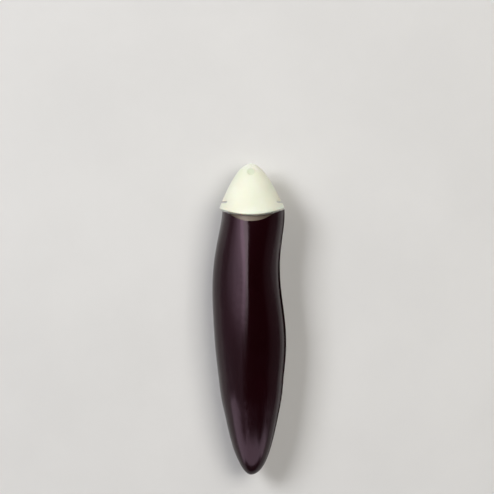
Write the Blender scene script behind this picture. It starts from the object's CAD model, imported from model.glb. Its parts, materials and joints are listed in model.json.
"""Chalk wheel pen: looks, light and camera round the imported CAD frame.

Metres. +Y runs along the pen towards the wheel, +Z is up.
"""
import json
from math import pi, radians

import bmesh
import bpy
from mathutils import Matrix, Vector


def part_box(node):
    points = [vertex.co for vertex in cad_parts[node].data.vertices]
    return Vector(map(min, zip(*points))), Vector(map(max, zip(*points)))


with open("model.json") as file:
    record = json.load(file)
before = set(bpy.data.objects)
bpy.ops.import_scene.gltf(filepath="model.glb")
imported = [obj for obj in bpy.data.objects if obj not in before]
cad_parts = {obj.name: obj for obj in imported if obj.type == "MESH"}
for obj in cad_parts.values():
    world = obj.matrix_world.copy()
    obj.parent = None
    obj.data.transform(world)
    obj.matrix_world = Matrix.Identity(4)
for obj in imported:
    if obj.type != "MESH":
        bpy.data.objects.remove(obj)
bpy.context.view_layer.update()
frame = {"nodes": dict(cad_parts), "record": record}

nodes = frame["nodes"]
MM = 0.001

# ---- places read from the frame -----------------------------------------------------------------
wheel_low, wheel_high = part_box("tracing_wheel")
wheel_centre = (wheel_low + wheel_high) / 2
cap_low, cap_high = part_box("axle_caps")
axle_ends = [(wheel_centre.x, wheel_centre.y, cap_low.z), (wheel_centre.x, wheel_centre.y, cap_high.z)]

# ---- camera: straight above, nose towards the top of the picture -----------------------------------
PICTURE_WIDTH = 190 * MM        # what the picture spans at the pen's mid height
CAMERA_HEIGHT = 0.9             # above the pen's axis
SENSOR_WIDTH = 36               # millimetres, as the lens is
AIM = Vector((-1.5 * MM, 27.5 * MM, 12 * MM))

camera_data = bpy.data.cameras.new("camera")
camera = bpy.data.objects.new("camera", camera_data)
bpy.context.scene.collection.objects.link(camera)
bpy.context.scene.camera = camera
camera_data.sensor_width = SENSOR_WIDTH
camera_data.lens = SENSOR_WIDTH * CAMERA_HEIGHT / PICTURE_WIDTH
camera.location = AIM + Vector((0, 0, CAMERA_HEIGHT))
camera_data.clip_start = 0.01
camera_data.clip_end = 20
bpy.context.scene.view_settings.view_transform = "Standard"


# ---- shader building ------------------------------------------------------------------------------
class Shader:
    """A Principled material with short calls for the nodes that paint it."""

    def __init__(self, name, **values):
        self.material = bpy.data.materials.new(name)
        self.material.use_nodes = True
        self.tree = self.material.node_tree
        self.surface = self.tree.nodes["Principled BSDF"]
        for key, value in values.items():
            self.surface.inputs[key.replace("_", " ")].default_value = value
        self.place = self.node("ShaderNodeTexCoord").outputs["Object"]

    def node(self, kind, **properties):
        made = self.tree.nodes.new(kind)
        for key, value in properties.items():
            setattr(made, key, value)
        return made

    def link(self, value, socket):
        if isinstance(value, bpy.types.NodeSocket):
            self.tree.links.new(value, socket)
        else:
            socket.default_value = value

    def stretched(self, x, y, z):
        """The object's coordinates, scaled by axis."""
        made = self.node("ShaderNodeMapping")
        made.inputs["Scale"].default_value = (x, y, z)
        self.link(self.place, made.inputs["Vector"])
        return made.outputs["Vector"]

    def noise(self, size, detail=3, rough=0.55, vector=None):
        """Noise with features of about this size in metres."""
        made = self.node("ShaderNodeTexNoise")
        made.inputs["Scale"].default_value = 1 / size
        made.inputs["Detail"].default_value = detail
        made.inputs["Roughness"].default_value = rough
        self.link(vector or self.place, made.inputs["Vector"])
        return made.outputs["Fac"]

    def span(self, value, low, high, out_low=0.0, out_high=1.0):
        """Maps low..high to out_low..out_high, clamped and eased."""
        made = self.node("ShaderNodeMapRange", interpolation_type="SMOOTHSTEP")
        for socket, given in zip(made.inputs, (value, low, high, out_low, out_high)):
            self.link(given, socket)
        return made.outputs["Result"]

    def math(self, operation, a, b=0.0):
        made = self.node("ShaderNodeMath", operation=operation)
        self.link(a, made.inputs[0])
        self.link(b, made.inputs[1])
        return made.outputs["Value"]

    def blend(self, share, first, second):
        """Colour between first and second."""
        made = self.node("ShaderNodeMix", data_type="RGBA")
        self.link(share, made.inputs["Factor"])
        for socket, given in ((made.inputs[6], first), (made.inputs[7], second)):
            self.link((*given, 1) if isinstance(given, tuple) else given, socket)
        return made.outputs[2]

    def distance(self, point):
        """Distance from a point in the frame."""
        made = self.node("ShaderNodeVectorMath", operation="DISTANCE")
        self.link(self.place, made.inputs[0])
        made.inputs[1].default_value = point
        return made.outputs["Value"]

    def bump(self, *layers):
        """Stacks (height, depth in metres) layers on the normal."""
        normal = None
        for height, depth in layers:
            made = self.node("ShaderNodeBump")
            made.inputs["Distance"].default_value = depth
            self.link(height, made.inputs["Height"])
            if normal:
                self.link(normal, made.inputs["Normal"])
            normal = made.outputs["Normal"]
        self.link(normal, self.surface.inputs["Normal"])

    def set(self, **inputs):
        for key, value in inputs.items():
            self.link(value, self.surface.inputs[key.replace("_", " ")])
        return self


def aubergine():
    """Glossy dark aubergine plastic: faint cloudiness, orange peel and hairline scuffs."""
    s = Shader("handle_aubergine", IOR=1.4, Specular_Tint=(1.0, 0.80, 0.90, 1))
    cloud = s.noise(22 * MM, 4)
    colour = s.blend(s.span(cloud, 0.35, 0.7), (0.0070, 0.0003, 0.0008), (0.0092, 0.0006, 0.0018))
    scuffs = s.noise(0.5 * MM, 4, 0.6, s.stretched(1.0, 0.06, 1.0))
    s.set(Base_Color=colour, Roughness=s.span(scuffs, 0.3, 0.8, 0.17, 0.23))
    orange_peel = s.noise(2.2 * MM, 2)
    grain = s.noise(0.35 * MM, 3)
    s.bump((orange_peel, 0.003 * MM), (grain, 0.0006 * MM), (scuffs, 0.0002 * MM))
    return s.material


def off_white():
    """Satin off-white plastic of the nose: fine grain, chalk round the wheel's slot, shaded axle recesses."""
    s = Shader("nose_off_white", IOR=1.48, Subsurface_Weight=0.12, Subsurface_Scale=0.002,
               Specular_IOR_Level=0.5)
    tint = s.blend(s.span(s.noise(9 * MM, 4), 0.35, 0.7), (0.815, 0.84, 0.69), (0.845, 0.87, 0.74))
    near_wheel = s.span(s.distance(wheel_centre), 3.4 * MM, 5.2 * MM, 1, 0)
    patches = s.span(s.noise(0.8 * MM, 5, 0.7), 0.42, 0.66)
    colour = s.blend(s.math("MULTIPLY", near_wheel, patches), tint, (0.92, 0.91, 0.88))
    recess = s.math("MAXIMUM", *(s.span(s.distance(point), 1.0 * MM, 2.1 * MM, 1, 0) for point in axle_ends))
    satin = s.span(s.noise(1.4 * MM, 4), 0.3, 0.75, 0.34, 0.46)
    s.set(Base_Color=s.blend(recess, colour, (0.70, 0.73, 0.58)), Roughness=s.span(recess, 0, 1, satin, 0.75))
    s.bump((s.noise(0.22 * MM, 3), 0.004 * MM), (s.noise(5 * MM, 2), 0.012 * MM))
    return s.material


def grained_plastic(name, dark, light, roughness):
    """Matt moulded plastic with an even grain."""
    s = Shader(name, IOR=1.48)
    s.set(Base_Color=s.blend(s.span(s.noise(6 * MM, 4), 0.35, 0.7), dark, light),
          Roughness=s.span(s.noise(1.2 * MM, 3), 0.3, 0.7, roughness - 0.06, roughness + 0.06))
    s.bump((s.noise(0.25 * MM, 3), 0.008 * MM))
    return s.material


def steel(name, chalky):
    """Steel with fine lines: the ground pin, or the stamped wheel, whose teeth carry a little chalk."""
    s = Shader(name, Metallic=1.0)
    lines = s.noise(0.25 * MM, 4, 0.6, s.stretched(1, 0.15, 1) if chalky else s.stretched(1, 1, 0.1))
    colour = s.blend(s.span(s.noise(1.5 * MM, 3), 0.35, 0.7), (0.50, 0.49, 0.47), (0.66, 0.65, 0.63))
    if chalky:
        towards_teeth = s.span(s.distance(wheel_centre), 2.4 * MM, 3.6 * MM)
        patches = s.span(s.noise(0.5 * MM, 4), 0.45, 0.6, 0, 0.8)
        colour = s.blend(s.math("MULTIPLY", towards_teeth, patches), colour, (0.85, 0.83, 0.81))
    s.set(Base_Color=colour, Roughness=s.span(lines, 0.3, 0.7, 0.28, 0.48))
    s.bump((lines, 0.004 * MM))
    return s.material


def translucent():
    """Natural, milky plastic of the reservoir tube."""
    s = Shader("reservoir_milky", IOR=1.46, Transmission_Weight=0.35)
    s.set(Base_Color=s.blend(s.span(s.noise(5 * MM, 3), 0.3, 0.7), (0.80, 0.82, 0.79), (0.88, 0.89, 0.86)),
          Roughness=s.span(s.noise(1 * MM, 3), 0.3, 0.7, 0.36, 0.46))
    s.bump((s.noise(0.6 * MM, 3), 0.006 * MM))
    return s.material


def powder():
    """Loose white chalk powder."""
    s = Shader("chalk_white", IOR=1.4)
    lumps = s.noise(0.9 * MM, 6, 0.7)
    s.set(Base_Color=s.blend(s.span(lumps, 0.35, 0.7), (0.80, 0.79, 0.77), (0.93, 0.93, 0.91)),
          Roughness=s.span(lumps, 0.3, 0.7, 0.86, 0.97))
    s.bump((lumps, 0.05 * MM), (s.noise(0.2 * MM, 3), 0.015 * MM))
    return s.material


def rubber():
    """Black rubber of the retaining ring."""
    s = Shader("seal_rubber", IOR=1.5)
    fine = s.noise(0.3 * MM, 4)
    s.set(Base_Color=s.blend(s.span(fine, 0.35, 0.7), (0.018, 0.018, 0.018), (0.04, 0.038, 0.036)),
          Roughness=s.span(fine, 0.3, 0.7, 0.5, 0.68))
    s.bump((fine, 0.01 * MM))
    return s.material


materials = {
    "handle": aubergine(),
    "nose": off_white(),
    "collar": grained_plastic("collar_beige", (0.15, 0.12, 0.09), (0.19, 0.155, 0.12), 0.5),
    "core": grained_plastic("core_grey", (0.22, 0.21, 0.20), (0.27, 0.26, 0.25), 0.55),
    "insert": grained_plastic("insert_white", (0.74, 0.74, 0.66), (0.80, 0.80, 0.73), 0.5),
    "seal": rubber(),
    "reservoir": translucent(),
    "plug": grained_plastic("plug_soft", (0.60, 0.59, 0.55), (0.68, 0.67, 0.63), 0.62),
    "chalk": powder(),
    "wheel_steel": steel("wheel_steel", chalky=True),
    "axle_steel": steel("axle_steel", chalky=False),
}
for entry in frame["record"]["subparts"]:
    piece = nodes[entry["node"]]
    piece.data.materials.clear()
    piece.data.materials.append(materials[entry["material_slot"]])
    for polygon in piece.data.polygons:
        polygon.material_index = 0


# ---- moulded edges ----------------------------------------------------------------------------------
EDGE_RADIUS = 0.3 * MM
SHARP_ANGLE = radians(50)       # edges that turn more than this are rounded

for shell in ("handle_top_shell", "handle_bottom_shell"):
    bevel = nodes[shell].modifiers.new("moulded_edges", "BEVEL")
    bevel.width = EDGE_RADIUS
    bevel.segments = 3
    bevel.limit_method = "ANGLE"
    bevel.angle_limit = SHARP_ANGLE


# ---- stage and light --------------------------------------------------------------------------------
FLOOR_HALF = 6.0                # half the floor's side
HORIZON_RADIANCE = 0.15
ZENITH_RADIANCE = 0.01
HORIZON_TOP = 0.05              # sine of the height at which the surroundings start to darken
DARK_FROM = 0.6                 # and at which they are fully dark
MIDDLE = (0, 0, 12 * MM)        # the middle of the pen
UP = (0, 0, 1)
LAVENDER = (1.0, 0.86, 0.99)
WARM = (1.0, 0.97, 0.90)
ROSE = (1.0, 0.80, 0.75)

CEILING = 0.90                  # height of the strip and of the glow cards
CEILING_PLACE = 0.29            # their middle along the pen
GLOW_START = 0.30               # the glow cards' common edge; they reach this far or further to the left
GLOW_LENGTH = 0.60
GLOW_STEPS = [(0.62, 6.0), (0.90, 2.8), (1.25, 2.0), (1.60, 1.0), (2.30, 0.8)]      # (reach, radiance)

# Cards behind the tail, an arch that leaves the low middle dark: name, left, right, low, high.
TAIL_CARDS = [("tail_card", -0.52, 0.65, 0.28, 0.98), ("tail_card_left", -1.70, -0.52, 0.05, 0.72),
              ("tail_card_right", 0.65, 1.40, 0.08, 0.70)]
TAIL_PLACE = -0.55
TAIL_RADIANCE = 2.0


def floor():
    """Plain pale floor."""
    shape = bmesh.new()
    bmesh.ops.create_grid(shape, x_segments=8, y_segments=8, size=FLOOR_HALF)
    mesh = bpy.data.meshes.new("floor")
    shape.to_mesh(mesh)
    shape.free()
    made = bpy.data.objects.new("floor", mesh)
    bpy.context.scene.collection.objects.link(made)
    s = Shader("floor_pale", Specular_IOR_Level=0.2)
    s.set(Base_Color=s.blend(s.span(s.noise(60 * MM, 4), 0.3, 0.7), (0.68, 0.68, 0.68), (0.71, 0.71, 0.71)),
          Roughness=s.span(s.noise(5 * MM, 3), 0.3, 0.7, 0.75, 0.85))
    mesh.materials.append(s.material)


def area_light(name, place, target, size, radiance, colour=(1, 1, 1), along=(0, 1, 0), card=True):
    """Light facing its target, its length along a direction. A card shapes only the gloss."""
    width, length = size
    data = bpy.data.lights.new(name, "AREA")
    data.shape = "RECTANGLE"
    data.size, data.size_y = width, length
    data.energy = radiance * pi * width * length
    data.color = colour
    made = bpy.data.objects.new(name, data)
    back = (Vector(place) - Vector(target)).normalized()
    up = (Vector(along) - back * back.dot(Vector(along))).normalized()
    made.matrix_world = Matrix.Translation(place) @ Matrix((up.cross(back), up, back)).transposed().to_4x4()
    made.visible_camera = False
    made.visible_glossy = card
    made.visible_diffuse = not card
    bpy.context.scene.collection.objects.link(made)


def ceiling_card(name, left, right, length, radiance, colour=(1, 1, 1)):
    """Level card above the pen, between two places to its side."""
    across = (left + right) / 2
    area_light(name, (across, CEILING_PLACE, CEILING), (across, CEILING_PLACE, 0), (right - left, length),
               radiance, colour)


def studio_world():
    """Dim surroundings: a little paler towards the horizon, dark overhead."""
    world = bpy.data.worlds.new("studio")
    bpy.context.scene.world = world
    world.use_nodes = True
    tree = world.node_tree
    direction = tree.nodes.new("ShaderNodeTexCoord").outputs["Generated"]
    split = tree.nodes.new("ShaderNodeSeparateXYZ")
    tree.links.new(direction, split.inputs["Vector"])
    height = tree.nodes.new("ShaderNodeMapRange")
    height.interpolation_type = "SMOOTHSTEP"
    height.inputs["From Min"].default_value = HORIZON_TOP
    height.inputs["From Max"].default_value = DARK_FROM
    height.inputs["To Min"].default_value = HORIZON_RADIANCE
    height.inputs["To Max"].default_value = ZENITH_RADIANCE
    tree.links.new(split.outputs["Z"], height.inputs["Value"])
    background = tree.nodes["Background"]
    background.inputs["Color"].default_value = (1.0, 0.84, 0.93, 1)
    tree.links.new(height.outputs["Result"], background.inputs["Strength"])


floor()
studio_world()
area_light("key", (-0.75, 0.40, 0.90), MIDDLE, (0.5, 0.5), 13.0, card=False)
area_light("fill", (0.50, 0.30, 1.20), MIDDLE, (0.8, 0.8), 5.4, WARM, card=False)
ceiling_card("strip", -0.30, 0.03, 0.58, 5.0)
for number, (reach, radiance) in enumerate(GLOW_STEPS):
    ceiling_card(f"glow_{number}", -reach, -GLOW_START, GLOW_LENGTH, radiance, LAVENDER)
area_light("left_card", (-0.90, 0.30, 0.75), (0, 0.30, 0.75), (3.0, 1.5), 0.30, LAVENDER, UP)
for name, left, right, low, high in TAIL_CARDS:
    across, height = (left + right) / 2, (low + high) / 2
    area_light(name, (across, TAIL_PLACE, height), (across, 0, height), (right - left, high - low),
               TAIL_RADIANCE, LAVENDER, UP)
area_light("right_card", (1.90, 0.0, 0.50), (0, 0, 0.50), (3.5, 1.0), 0.10, ROSE, UP)
